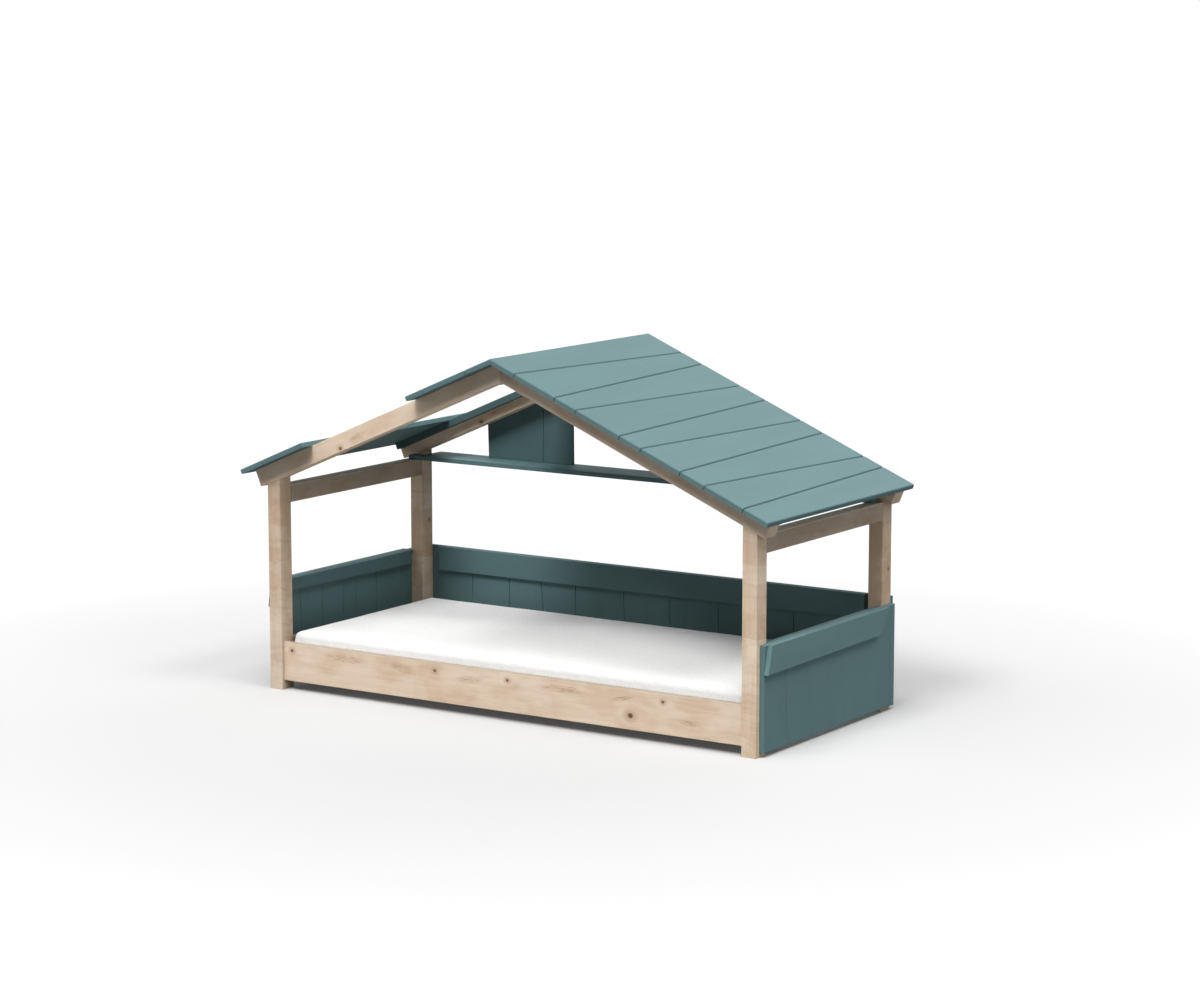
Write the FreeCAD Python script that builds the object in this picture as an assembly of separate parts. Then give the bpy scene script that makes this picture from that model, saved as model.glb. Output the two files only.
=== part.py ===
import FreeCAD, Part
import math
import os

from FreeCAD import Rotation, Vector

# House frame bed: a low child's bed inside a timber house frame. The frame is pale wood, and the
# roof, the shelf, the back, the ends and the gable are painted boards.
# All sizes are in millimetres. X runs along the bed, the open front faces -Y and Z is up.
# The frame is laid out about the middle of its posts, and each piece is moved as it is saved,
# so that the origin is the middle of the whole bed's box, on the floor.

# ---- driving dimensions ----

# Mattress and the room left round it
mattress_length = 2000.0
mattress_width = 900.0
mattress_height = 140.0
mattress_crown = 4.0
mattress_corner = 60.0
mattress_roll = 14.0
mattress_waist = 3.0
mattress_end_room = 5.3
mattress_side_room = 2.0
mattress_lay = 0.3

# Posts and rails
post_width = 58.0
post_depth = 68.0
post_inner_height = 806.9
post_arris = 2.0
rail_thickness = 18.0
rail_height = 149.0
rail_setback = 13.6
rail_floor_gap = 35.0
rail_arris = 2.0
top_rail_height = 66.0
top_rail_drop = 32.9

# Slatted base
cleat_size = 24.0
slat_width = 80.0
slat_thickness = 18.0
slat_most_pitch = 150.0
slat_end_gap = 2.0

# Roof frame, measured along and square to the slope
roof_pitch = 23.03
rafter_depth = 63.0
rafter_end_inset = 19.0
batten_width = 35.0
batten_depth = 25.0
batten_end_inset = 27.0

# Roof boards: each is a long taper, with its width at the front end and at the back end.
# They run down from the ridge, and the last one on the right is cut off at the eave.
board_thickness = 18.0
board_gap = 3.0
board_arris = 3.0
board_least = 60.0
eave_overhang = 79.7
front_overhang = 61.4
back_overhang = 21.4
right_board_widths = (
    (115.8, 161.7),
    (185.2, 98.1),
    (96.7, 182.4),
    (197.3, 117.4),
    (94.6, 166.2),
    (173.4, 101.1),
    (104.8, 188.2),
    (168.5, 86.0),
)
left_ridge_board_widths = (
    (121.6, 152.0),
    (205.2, 130.0),
    (80.2, 125.0),
)
left_eave_board_widths = (
    (112.0, 186.0),
    (202.0, 128.0),
)

# Shelf and the gable planks that stand on it
shelf_thickness = 18.0
shelf_bearing = 36.0
shelf_front_reach = 40.0
shelf_back_reach = 40.4
shelf_notch_front = 3.6
shelf_notch_side = 15.0
shelf_arris = 1.5
gable_shelf_inset = 260.3
gable_outer_widths = (260.0, 266.0)
gable_inner_widths = (134.0, 130.0)
gable_outer_lean = 6.0
gable_roof_gap = 0.5

# Planked panels at the ends and the back
plank_thickness = 18.0
plank_gap = 1.2
plank_arris = 1.5
plank_least = 70.0
panel_floor_gap = 16.0
left_end_panel_height = 390.0
right_end_panel_height = 378.0
end_panel_front_inset = 23.6
back_panel_height = 403.0

# Plank widths at the bottom and at the top: from the front on the left end, from the left on the back
left_plank_widths = (
    (180.7, 158.8),
    (118.8, 140.7),
    (131.8, 131.8),
    (83.7, 83.7),
    (130.0, 130.0),
    (164.5, 164.5),
)
right_front_plank_widths = (163.7, 139.7)
right_back_strip_width = 30.6
back_plank_widths = (
    (250.8, 250.8),
    (178.2, 178.2),
    (180.7, 141.8),
    (133.2, 172.1),
    (237.6, 214.7),
    (192.6, 215.5),
    (219.2, 219.2),
    (163.0, 163.0),
    (163.5, 163.5),
    (194.5, 194.5),
)

# Bands across the planks
inner_band_height = 46.0
inner_band_drop = 10.0
inner_band_top_gap = 7.6
inner_band_lean = 18.0
outer_band_height = 102.0
outer_band_rise = 7.6
right_outer_band_front = (24.0, -2.5)
right_outer_band_back = (73.6, 141.6)
left_outer_band_front = (30.0, 14.0)
left_outer_band_back = (73.6, 131.6)
back_band_height = 95.0
back_band_inset = 98.3

# Tenons on the rails, dowels in the rafters and cam fittings in the side rails
rail_tenon_length = 20.0
rail_tenon_thickness = 10.0
rail_tenon_shoulder = 15.0
top_tenon_length = 28.0
top_tenon_thickness = 20.0
top_tenon_shoulder = 12.0
tenon_clearance = 0.2
dowel_radius = 6.0
dowel_length = 50.0
dowel_clearance = 0.1
dowel_end_room = 1.0
apex_dowel_spacing = 30.0
cam_radius = 7.5
cam_depth = 13.0
cam_from_end = 34.0
cam_bolt_radius = 3.5
cam_bolt_reach = 12.0
cam_clearance = 0.2

# ---- places that follow from the driving dimensions ----

slope = math.radians(roof_pitch)
post_inner_x = mattress_length / 2 + mattress_end_room
post_outer_x = post_inner_x + post_width
rail_inner_y = mattress_width / 2 + mattress_side_room
rail_outer_y = rail_inner_y + rail_thickness
post_outer_y = rail_outer_y + rail_setback
post_inner_y = post_outer_y - post_depth
post_mid_x = post_inner_x + post_width / 2
post_mid_y = post_outer_y - post_depth / 2
rail_top = rail_floor_gap + rail_height
slat_bottom = rail_floor_gap + cleat_size
slat_top = slat_bottom + slat_thickness
top_rail_top = post_inner_height - top_rail_drop
shelf_top = top_rail_top + shelf_thickness
slope_length = (post_outer_x + eave_overhang) / math.cos(slope)
roof_depth = board_thickness + rafter_depth
ridge_height = post_inner_height + post_inner_x * math.tan(slope) + roof_depth / math.cos(slope)
roof_front = -post_outer_y - front_overhang
roof_back = post_outer_y + back_overhang
roof_run = roof_back - roof_front
end_panel_front = -post_outer_y + end_panel_front_inset
end_panel_length = post_outer_y - end_panel_front
left_end_top = panel_floor_gap + left_end_panel_height
right_end_top = panel_floor_gap + right_end_panel_height
back_panel_length = 2 * post_outer_x
back_panel_top = panel_floor_gap + back_panel_height
shelf_front = post_inner_y - shelf_front_reach
shelf_back = post_outer_y + shelf_back_reach
shelf_back_end = post_inner_x - shelf_notch_side
box_back = max(roof_back, shelf_back, post_outer_y + plank_thickness)
origin_y = (roof_front + box_back) / 2

along_x = Vector(1, 0, 0)
along_y = Vector(0, 1, 0)
along_z = Vector(0, 0, 1)
middle = Vector(0, 0, 0)
touching = 1e-6


def mirrored(shape):
    """The same piece for the other end of the bed."""
    return shape.mirror(middle, along_x)


def prism(corners, thickness):
    """Board of the given outline in the XY plane, from z = 0 down by its thickness."""
    points = [Vector(x, y, 0) for x, y in corners]
    outline = Part.makePolygon(points + points[:1])
    return Part.Face(outline).extrude(-thickness * along_z)


def level_edges(board, levels):
    """Edges of a flat-lying board that run in the faces at the given heights."""
    return [
        edge for edge in board.Edges
        if any(all(abs(corner.Z - level) < touching for corner in edge.Vertexes) for level in levels)
    ]


def eased_board(corners, thickness, arris):
    """Flat-lying board with the edges of both faces eased."""
    board = prism(corners, thickness)
    return board.makeChamfer(arris, level_edges(board, (0, -thickness)))


def facing_x(board, x):
    """Stand a flat-lying board up across X, with its upper face at x: its X and Y become Y and Z."""
    stood = board.copy()
    stood.Placement = FreeCAD.Placement(Vector(x, 0, 0), Rotation(along_y, along_z, along_x, "XYZ"))
    return stood


def facing_y(board, y):
    """Stand a flat-lying board up across Y, with its front face at y: its Y becomes Z."""
    stood = board.copy()
    stood.Placement = FreeCAD.Placement(Vector(0, y, 0), Rotation(along_x, along_z, -along_y, "XYZ"))
    return stood


def on_slope(along, down):
    """Point of the right-hand roof section: along the slope from the ridge, and square down into it."""
    x = along * math.cos(slope) - down * math.sin(slope)
    z = ridge_height - along * math.sin(slope) - down * math.cos(slope)
    return x, z


def underside(x, down):
    """Height of the plane that lies at this depth under the roof's top, at x."""
    return ridge_height - down / math.cos(slope) - abs(x) * math.tan(slope)


def section_along_y(corners, start, length):
    """Bar with a section in the XZ plane, running back from start."""
    points = [Vector(x, start, z) for x, z in corners]
    outline = Part.makePolygon(points + points[:1])
    return Part.Face(outline).extrude(length * along_y)


def bar(x_range, y_range, z_range, arris, run):
    """Straight bar between three pairs of limits, with the four edges that run along it eased."""
    low = Vector(x_range[0], y_range[0], z_range[0])
    size = Vector(x_range[1], y_range[1], z_range[1]) - low
    solid = Part.makeBox(size.x, size.y, size.z, low)
    long_edges = [
        edge for edge in solid.Edges
        if abs(abs(edge.tangentAt(edge.FirstParameter).dot(run)) - 1) < touching
    ]
    return solid.makeChamfer(arris, long_edges)


def seams(widths, total, least):
    """Places of the seams between boards laid side by side, at both ends, from 0 to the total.

    The boards repeat in turn, and the last is cut to what is left.
    """
    places = [(0.0, 0.0)]
    while True:
        one_end, other_end = widths[(len(places) - 1) % len(widths)]
        place = (places[-1][0] + one_end, places[-1][1] + other_end)
        if total - max(place) < least:
            places.append((total, total))
            return places
        places.append(place)


def laid_between(places, gap):
    """Both edges of each board between its seams, half a gap in from each inner seam."""
    boards = []
    last = len(places) - 2
    for index, (near, far) in enumerate(zip(places, places[1:])):
        near_gap = gap / 2 if index > 0 else 0.0
        far_gap = gap / 2 if index < last else 0.0
        near_edge = tuple(place + near_gap for place in near)
        far_edge = tuple(place - far_gap for place in far)
        boards.append((near_edge, far_edge))
    return boards


# ---- posts, rails and the slatted base ----

def make_post(front):
    """Right-hand post, its top cut to the slope of the rafter that sits on it."""
    start = -post_outer_y if front else post_inner_y
    section = (
        (post_inner_x, 0),
        (post_outer_x, 0),
        (post_outer_x, underside(post_outer_x, roof_depth)),
        (post_inner_x, underside(post_inner_x, roof_depth)),
    )
    post = section_along_y(section, start, post_depth)
    upright = [edge for edge in post.Edges if abs(edge.tangentAt(edge.FirstParameter).z) > 1 - touching]
    return post.makeChamfer(post_arris, upright)


def make_side_rail(front):
    """Long rail between two posts, set back from their outer faces."""
    y_range = (-rail_outer_y, -rail_inner_y) if front else (rail_inner_y, rail_outer_y)
    x_range = (-post_inner_x, post_inner_x)
    return bar(x_range, y_range, (rail_floor_gap, rail_top), rail_arris, along_x)


def make_lower_end_rail():
    """Right-hand end rail that the end planks are fixed to, flush with the posts' outer faces."""
    x_range = (post_outer_x - rail_thickness, post_outer_x)
    y_range = (-post_inner_y, post_inner_y)
    return bar(x_range, y_range, (rail_floor_gap, rail_top), rail_arris, along_y)


def make_top_end_rail():
    """Right-hand top rail, as thick as the posts are wide."""
    y_range = (-post_inner_y, post_inner_y)
    z_range = (top_rail_top - top_rail_height, top_rail_top)
    return bar((post_inner_x, post_outer_x), y_range, z_range, rail_arris, along_y)


def make_cleat(front):
    """Square strip along the foot of a side rail's inner face, which carries the slats."""
    low = -rail_inner_y if front else rail_inner_y - cleat_size
    x_range = (-mattress_length / 2, mattress_length / 2)
    return bar(x_range, (low, low + cleat_size), (rail_floor_gap, slat_bottom), rail_arris, along_x)


def make_slats():
    """Slats across the cleats, evenly spaced from one end of the mattress to the other."""
    run = mattress_length - slat_width
    spaces = math.ceil(run / slat_most_pitch)
    half_length = rail_inner_y - slat_end_gap
    slats = []
    for index in range(spaces + 1):
        mid_x = run * (index / spaces - 0.5)
        x_range = (mid_x - slat_width / 2, mid_x + slat_width / 2)
        slats.append(bar(x_range, (-half_length, half_length), (slat_bottom, slat_top), rail_arris, along_y))
    return Part.makeCompound(slats)


def make_packer():
    """Strip between the back rail and the back planks, which their lower ends are fixed to."""
    x_range = (-post_inner_x, post_inner_x)
    z_range = (rail_floor_gap, rail_top)
    depth = (rail_outer_y, post_outer_y)
    return bar(x_range, depth, z_range, rail_arris, along_x)


# ---- roof ----

def make_rafter(front):
    """Right-hand rafter: plumb cut at the ridge, square cut at its foot, seated on two posts' tops."""
    foot = slope_length - rafter_end_inset
    section = (
        (0, underside(0, roof_depth)),
        (0, underside(0, board_thickness)),
        on_slope(foot, board_thickness),
        on_slope(foot, roof_depth),
    )
    return section_along_y(section, -post_outer_y if front else post_inner_y, post_depth)


def make_batten(front):
    """Right-hand batten against a rafter's inner face, under the roof boards."""
    foot = slope_length - batten_end_inset
    depth = board_thickness + batten_depth
    section = (
        (0, underside(0, depth)),
        (0, underside(0, board_thickness)),
        on_slope(foot, board_thickness),
        on_slope(foot, depth),
    )
    start = -post_inner_y if front else post_inner_y - batten_width
    return section_along_y(section, start, batten_width)


def make_roof_board(near_edge, far_edge):
    """Tapered right-hand roof board between two edges, each a distance from the ridge at its two ends.

    The board at the ridge is mitred against its twin on the other slope.
    """
    corners = (
        (near_edge[0], roof_front),
        (far_edge[0], roof_front),
        (far_edge[1], roof_back),
        (near_edge[1], roof_back),
    )
    board = prism(corners, board_thickness)
    at_ridge = max(near_edge) < touching
    eased = [
        edge for edge in level_edges(board, (0,))
        if not (at_ridge and max(corner.X for corner in edge.Vertexes) < touching)
    ]
    board = board.makeChamfer(board_arris, eased)
    board.rotate(middle, along_y, roof_pitch)
    board.translate(ridge_height * along_z)
    if not at_ridge:
        return board
    beyond = Part.makeBox(ridge_height, 2 * roof_run, 2 * ridge_height, Vector(-ridge_height, -roof_run, 0))
    return board.cut(beyond)


def make_roof_boards():
    """Right slope closed from ridge to eave, left slope with an opening between its two groups."""
    boards = {}
    right = laid_between(seams(right_board_widths, slope_length, board_least), board_gap)
    for number, (near_edge, far_edge) in enumerate(right, 1):
        boards["roof_board_right_%02d" % number] = make_roof_board(near_edge, far_edge)
    from_ridge = [(0.0, 0.0)]
    for front_width, back_width in left_ridge_board_widths:
        from_ridge.append((from_ridge[-1][0] + front_width, from_ridge[-1][1] + back_width))
    from_eave = [(slope_length, slope_length)]
    for front_width, back_width in left_eave_board_widths:
        from_eave.insert(0, (from_eave[0][0] - front_width, from_eave[0][1] - back_width))
    left = laid_between(from_ridge, board_gap) + laid_between(from_eave, board_gap)
    for number, (near_edge, far_edge) in enumerate(left, 1):
        boards["roof_board_left_%02d" % number] = mirrored(make_roof_board(near_edge, far_edge))
    return boards


# ---- shelf and gable ----

def make_shelf():
    """Shelf lying on the top end rails, notched at the back to pass between the back posts."""
    wide = post_inner_x + shelf_bearing
    notch = post_inner_y - shelf_notch_front
    corners = (
        (-wide, shelf_front),
        (wide, shelf_front),
        (wide, notch),
        (shelf_back_end, notch),
        (shelf_back_end, shelf_back),
        (-shelf_back_end, shelf_back),
        (-shelf_back_end, notch),
        (-wide, notch),
    )
    board = eased_board(corners, shelf_thickness, shelf_arris)
    board.translate(shelf_top * along_z)
    return board


def make_gable_plank(near_bottom, near_top, far_bottom, far_top):
    """Plank on the back of the left back rafter, standing on the shelf and cut to the roof's slope.

    The four places are distances to the left of the ridge.
    """
    under_boards = board_thickness + gable_roof_gap
    corners = (
        (-far_bottom, shelf_top),
        (-near_bottom, shelf_top),
        (-near_top, underside(near_top, under_boards)),
        (-far_top, underside(far_top, under_boards)),
    )
    return facing_y(eased_board(corners, plank_thickness, plank_arris), post_outer_y)


def make_gable_planks():
    """The two gable planks, side by side, set in from the shelf's left end."""
    far_bottom = shelf_back_end - gable_shelf_inset
    far = (far_bottom, far_bottom + gable_outer_lean)
    seam = tuple(place - width for place, width in zip(far, gable_outer_widths))
    near = tuple(place - width for place, width in zip(seam, gable_inner_widths))
    half = plank_gap / 2
    return {
        "gable_plank_inner": make_gable_plank(near[0], near[1], seam[0] - half, seam[1] - half),
        "gable_plank_outer": make_gable_plank(seam[0] + half, seam[1] + half, far[0], far[1]),
    }


# ---- planked panels ----

def make_planks(places, low, high):
    """Flat-lying upright planks between their seams, given at the bottom and at the top."""
    planks = []
    for near_edge, far_edge in laid_between(places, plank_gap):
        corners = (
            (near_edge[0], low),
            (far_edge[0], low),
            (far_edge[1], high),
            (near_edge[1], high),
        )
        planks.append(eased_board(corners, plank_thickness, plank_arris))
    return planks


def end_planks(places, panel_top):
    """Planks on the outer faces of a pair of right-hand posts."""
    from_front = [tuple(end_panel_front + place for place in seam) for seam in places]
    outside = post_outer_x + plank_thickness
    return [facing_x(plank, outside) for plank in make_planks(from_front, panel_floor_gap, panel_top)]


def make_left_end_planks():
    """Seven planks on the left end."""
    places = seams(left_plank_widths, end_panel_length, plank_least)
    return Part.makeCompound([mirrored(plank) for plank in end_planks(places, left_end_top)])


def make_right_end_planks():
    """Front plank, wide board and narrow back strip on the right end."""
    back_seam = end_panel_length - right_back_strip_width
    places = [
        (0.0, 0.0),
        right_front_plank_widths,
        (back_seam, back_seam),
        (end_panel_length, end_panel_length),
    ]
    names = ("right_end_front_plank", "right_end_wide_board", "right_end_back_strip")
    return dict(zip(names, end_planks(places, right_end_top)))


def make_back_planks():
    """Planks on the back faces of the back posts."""
    places = [
        tuple(place - post_outer_x for place in seam)
        for seam in seams(back_plank_widths, back_panel_length, plank_least)
    ]
    planks = make_planks(places, panel_floor_gap, back_panel_top)
    return Part.makeCompound([facing_y(plank, post_outer_y) for plank in planks])


def make_inner_band(panel_top):
    """Band inside the right end planks, between the posts, with leaning ends and a falling lower edge."""
    top = post_inner_y - inner_band_top_gap
    bottom = top - inner_band_lean
    low = panel_top - inner_band_height
    corners = (
        (-bottom, low),
        (bottom, low - inner_band_drop),
        (top, panel_top),
        (-top, panel_top),
    )
    return facing_x(eased_board(corners, plank_thickness, plank_arris), post_outer_x)


def make_outer_band(panel_top, front, back):
    """Band across the outside of the right end planks, with leaning ends and a rising lower edge.

    front and back hold the distance of the band's end from the panel's end, at the top and the bottom.
    """
    low = panel_top - outer_band_height
    corners = (
        (end_panel_front + front[1], low),
        (post_outer_y - back[1], low + outer_band_rise),
        (post_outer_y - back[0], panel_top),
        (end_panel_front + front[0], panel_top),
    )
    band = eased_board(corners, plank_thickness, plank_arris)
    return facing_x(band, post_outer_x + 2 * plank_thickness)


def make_back_band():
    """Band across the inside of the back planks, between the back posts."""
    half = post_outer_x - back_band_inset
    low = back_panel_top - back_band_height
    corners = ((-half, low), (half, low), (half, back_panel_top), (-half, back_panel_top))
    band = eased_board(corners, plank_thickness, plank_arris)
    return facing_y(band, post_outer_y - plank_thickness)


# ---- mattress ----

def rounded_rectangle(inset, height):
    """Level outline of the mattress, drawn in all round."""
    half_x = mattress_length / 2 - inset
    half_y = mattress_width / 2 - inset
    radius = mattress_corner
    edges = []
    for quarter in range(4):
        sign_x = 1 if quarter in (0, 3) else -1
        sign_y = 1 if quarter in (0, 1) else -1
        centre = Vector(sign_x * (half_x - radius), sign_y * (half_y - radius), height)
        turn = quarter * 90
        edges.append(Part.makeCircle(radius, centre, along_z, turn, turn + 90))
    corners = list(edges)
    for arc, following in zip(corners, corners[1:] + corners[:1]):
        start = arc.valueAt(arc.LastParameter)
        end = following.valueAt(following.FirstParameter)
        edges.append(Part.makeLine(start, end))
    return Part.Wire(Part.__sortEdges__(edges))


def make_mattress():
    """Mattress with rolled edges, a waist round its sides and a low crown."""
    low = slat_top + mattress_lay
    roll = mattress_roll
    quarter = mattress_height / 4
    levels = (
        (roll, 0),
        (roll * 0.25, roll * 0.5),
        (0, roll * 1.5),
        (mattress_waist, 2 * quarter),
        (0, mattress_height - roll * 1.5),
        (roll * 0.25, mattress_height - roll * 0.5),
        (roll, mattress_height),
        (roll * 8, mattress_height + mattress_crown * 0.6),
        (mattress_width / 3, mattress_height + mattress_crown),
    )
    outlines = [rounded_rectangle(inset, low + height) for inset, height in levels]
    return Part.makeLoft(outlines, True, True)


# ---- tenons, dowels and cam fittings ----

def tenon_box(root, away, length, thickness, height):
    """Box that runs from the middle of a rail's end, level and square to it."""
    across = Vector(abs(away.y), abs(away.x), 0)
    half = across * (thickness / 2) + along_z * (height / 2)
    first = root - half
    second = root + away * length + half
    low = Vector(min(first.x, second.x), min(first.y, second.y), first.z)
    size = Vector(max(first.x, second.x), max(first.y, second.y), second.z) - low
    return Part.makeBox(size.x, size.y, size.z, low)


def add_tenon(pieces, rail, post, root, away, length, thickness, height):
    """Tenon on a rail's end, with its mortise in the post."""
    room = tenon_clearance
    mortise = tenon_box(root, away, length + room, thickness + 2 * room, height + 2 * room)
    pieces[rail] = pieces[rail].fuse(tenon_box(root, away, length, thickness, height))
    pieces[post] = pieces[post].cut(mortise)


def add_tenons(pieces):
    """Tenons at both ends of the side rails, the lower end rails and the top end rails."""
    rail_mid = (rail_floor_gap + rail_top) / 2
    top_mid = top_rail_top - top_rail_height / 2
    lower_x = post_outer_x - rail_thickness / 2
    side_y = (rail_inner_y + rail_outer_y) / 2
    rail_size = (rail_tenon_length, rail_tenon_thickness, rail_height - 2 * rail_tenon_shoulder)
    top_size = (top_tenon_length, top_tenon_thickness, top_rail_height - 2 * top_tenon_shoulder)
    for side, sign_x in (("left", -1), ("right", 1)):
        for face, sign_y in (("front", -1), ("back", 1)):
            post = "post_%s_%s" % (face, side)
            at_side = Vector(sign_x * post_inner_x, sign_y * side_y, rail_mid)
            at_end = Vector(sign_x * lower_x, sign_y * post_inner_y, rail_mid)
            at_top = Vector(sign_x * post_mid_x, sign_y * post_inner_y, top_mid)
            add_tenon(pieces, "side_rail_%s" % face, post, at_side, sign_x * along_x, *rail_size)
            add_tenon(pieces, "lower_end_rail_%s" % side, post, at_end, sign_y * along_y, *rail_size)
            add_tenon(pieces, "top_end_rail_%s" % side, post, at_top, sign_y * along_y, *top_size)


def rod(centre, direction, radius, length):
    """Round rod centred on a point."""
    return Part.makeCylinder(radius, length, centre - direction * (length / 2), direction)


def add_dowel(pieces, dowels, names, centre, direction):
    """Dowel across the joint of two pieces, with its blind hole in each."""
    hole = rod(centre, direction, dowel_radius + dowel_clearance, dowel_length + 2 * dowel_end_room)
    for name in names:
        pieces[name] = pieces[name].cut(hole)
    dowels.append(rod(centre, direction, dowel_radius, dowel_length))


def add_dowels(pieces):
    """A dowel from each post's top into its rafter, and two across each pair of rafters at the ridge."""
    dowels = []
    seat_z = underside(post_mid_x, roof_depth)
    apex_z = (underside(0, roof_depth) + underside(dowel_length / 2, board_thickness)) / 2
    for face, sign_y in (("front", -1), ("back", 1)):
        for side, sign_x in (("left", -1), ("right", 1)):
            square_up = Vector(sign_x * math.sin(slope), 0, math.cos(slope))
            names = ("post_%s_%s" % (face, side), "rafter_%s_%s" % (face, side))
            seat = Vector(sign_x * post_mid_x, sign_y * post_mid_y, seat_z)
            add_dowel(pieces, dowels, names, seat, square_up)
        pair = ("rafter_%s_left" % face, "rafter_%s_right" % face)
        for step in (-0.5, 0.5):
            apex = Vector(0, sign_y * post_mid_y + step * apex_dowel_spacing, apex_z)
            add_dowel(pieces, dowels, pair, apex, along_x)
    pieces["rafter_dowels"] = Part.makeCompound(dowels)


def add_cams(pieces):
    """Cam housing in each end of the side rails, drawn onto a bolt that runs through the tenon."""
    cams = []
    bolts = []
    side_y = (rail_inner_y + rail_outer_y) / 2
    cam_z = (rail_floor_gap + rail_top) / 2
    for side, sign_x in (("left", -1), ("right", 1)):
        for face, sign_y in (("front", -1), ("back", 1)):
            outward = sign_y * along_y
            away = sign_x * along_x
            cam_x = sign_x * (post_inner_x - cam_from_end)
            mouth = Vector(cam_x, sign_y * rail_inner_y, cam_z)
            pocket = Part.makeCylinder(cam_radius + dowel_clearance, cam_depth + cam_clearance, mouth, outward)
            cams.append(Part.makeCylinder(cam_radius, cam_depth, mouth, outward))
            reach = cam_from_end - cam_radius - cam_clearance + rail_tenon_length + cam_bolt_reach
            start = Vector(cam_x + sign_x * (cam_radius + cam_clearance), sign_y * side_y, cam_z)
            bolts.append(Part.makeCylinder(cam_bolt_radius, reach, start, away))
            bolt_hole = Part.makeCylinder(cam_bolt_radius + dowel_clearance, reach + cam_radius,
                                          start - away * cam_radius, away)
            rail = "side_rail_%s" % face
            post = "post_%s_%s" % (face, side)
            pieces[rail] = pieces[rail].cut(pocket).cut(bolt_hole)
            pieces[post] = pieces[post].cut(bolt_hole)
    pieces["cam_housings"] = Part.makeCompound(cams)
    pieces["cam_bolts"] = Part.makeCompound(bolts)


# ---- the whole bed ----

def make_frame():
    """Posts, rails, rafters and battens on both ends."""
    pieces = {}
    for face, front in (("front", True), ("back", False)):
        makers = (("post", make_post), ("rafter", make_rafter), ("roof_batten", make_batten))
        for name, maker in makers:
            right = maker(front)
            pieces["%s_%s_right" % (name, face)] = right
            pieces["%s_%s_left" % (name, face)] = mirrored(right)
        pieces["side_rail_%s" % face] = make_side_rail(front)
        pieces["slat_cleat_%s" % face] = make_cleat(front)
    for name, maker in (("lower_end_rail", make_lower_end_rail), ("top_end_rail", make_top_end_rail)):
        right = maker()
        pieces["%s_right" % name] = right
        pieces["%s_left" % name] = mirrored(right)
    return pieces


def make_panels():
    """Planks and bands of the two ends and the back."""
    pieces = {
        "left_end_planks": make_left_end_planks(),
        "back_planks": make_back_planks(),
        "back_band": make_back_band(),
        "back_rail_packer": make_packer(),
        "right_inner_band": make_inner_band(right_end_top),
        "left_inner_band": mirrored(make_inner_band(left_end_top)),
        "right_outer_band": make_outer_band(right_end_top, right_outer_band_front, right_outer_band_back),
        "left_outer_band": mirrored(make_outer_band(left_end_top, left_outer_band_front, left_outer_band_back)),
    }
    pieces.update(make_right_end_planks())
    return pieces


def save(name, shape):
    """Write one piece, in the frame whose origin is under the middle of the bed."""
    shape.translate(-origin_y * along_y)
    shape.exportStep("parts/%s.step" % name)


def build():
    """Make every piece and write each to its own file."""
    pieces = make_frame()
    add_tenons(pieces)
    add_dowels(pieces)
    add_cams(pieces)
    pieces["slats"] = make_slats()
    pieces["mattress"] = make_mattress()
    pieces["shelf"] = make_shelf()
    pieces.update(make_roof_boards())
    pieces.update(make_gable_planks())
    pieces.update(make_panels())
    os.makedirs("parts", exist_ok=True)
    for name in sorted(pieces):
        save(name, pieces[name])


build()
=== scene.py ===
import math

import bmesh
import bpy
from bpy.props import FloatProperty, FloatVectorProperty, IntProperty, PointerProperty
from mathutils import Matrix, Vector, noise


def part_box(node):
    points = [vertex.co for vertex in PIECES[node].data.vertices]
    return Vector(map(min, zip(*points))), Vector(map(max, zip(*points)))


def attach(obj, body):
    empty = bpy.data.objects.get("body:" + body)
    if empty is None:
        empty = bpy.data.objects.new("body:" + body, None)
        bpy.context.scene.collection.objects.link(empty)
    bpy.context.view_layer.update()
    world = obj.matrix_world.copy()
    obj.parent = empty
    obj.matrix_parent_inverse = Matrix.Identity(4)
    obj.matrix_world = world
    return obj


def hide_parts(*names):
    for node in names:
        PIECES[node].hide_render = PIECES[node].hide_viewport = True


bl_info = {
    "name": "House Frame Bed Finish",
    "version": (1, 0, 0),
    "blender": (4, 5, 0),
    "location": "3D View > Sidebar > House Bed",
    "description": "Finishes a house frame bed: timber, paint, mattress and studio",
    "category": "Object",
}

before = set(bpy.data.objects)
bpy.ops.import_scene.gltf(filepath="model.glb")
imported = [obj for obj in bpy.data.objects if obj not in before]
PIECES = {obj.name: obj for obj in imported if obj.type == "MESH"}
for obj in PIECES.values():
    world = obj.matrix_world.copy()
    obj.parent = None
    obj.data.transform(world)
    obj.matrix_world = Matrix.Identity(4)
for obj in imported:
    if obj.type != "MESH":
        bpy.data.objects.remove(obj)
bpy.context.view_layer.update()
MATTRESS = "mattress"
ROOF_PITCH = math.radians(23.03)
SLATS = 14


# ---- shader expressions ----

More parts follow.
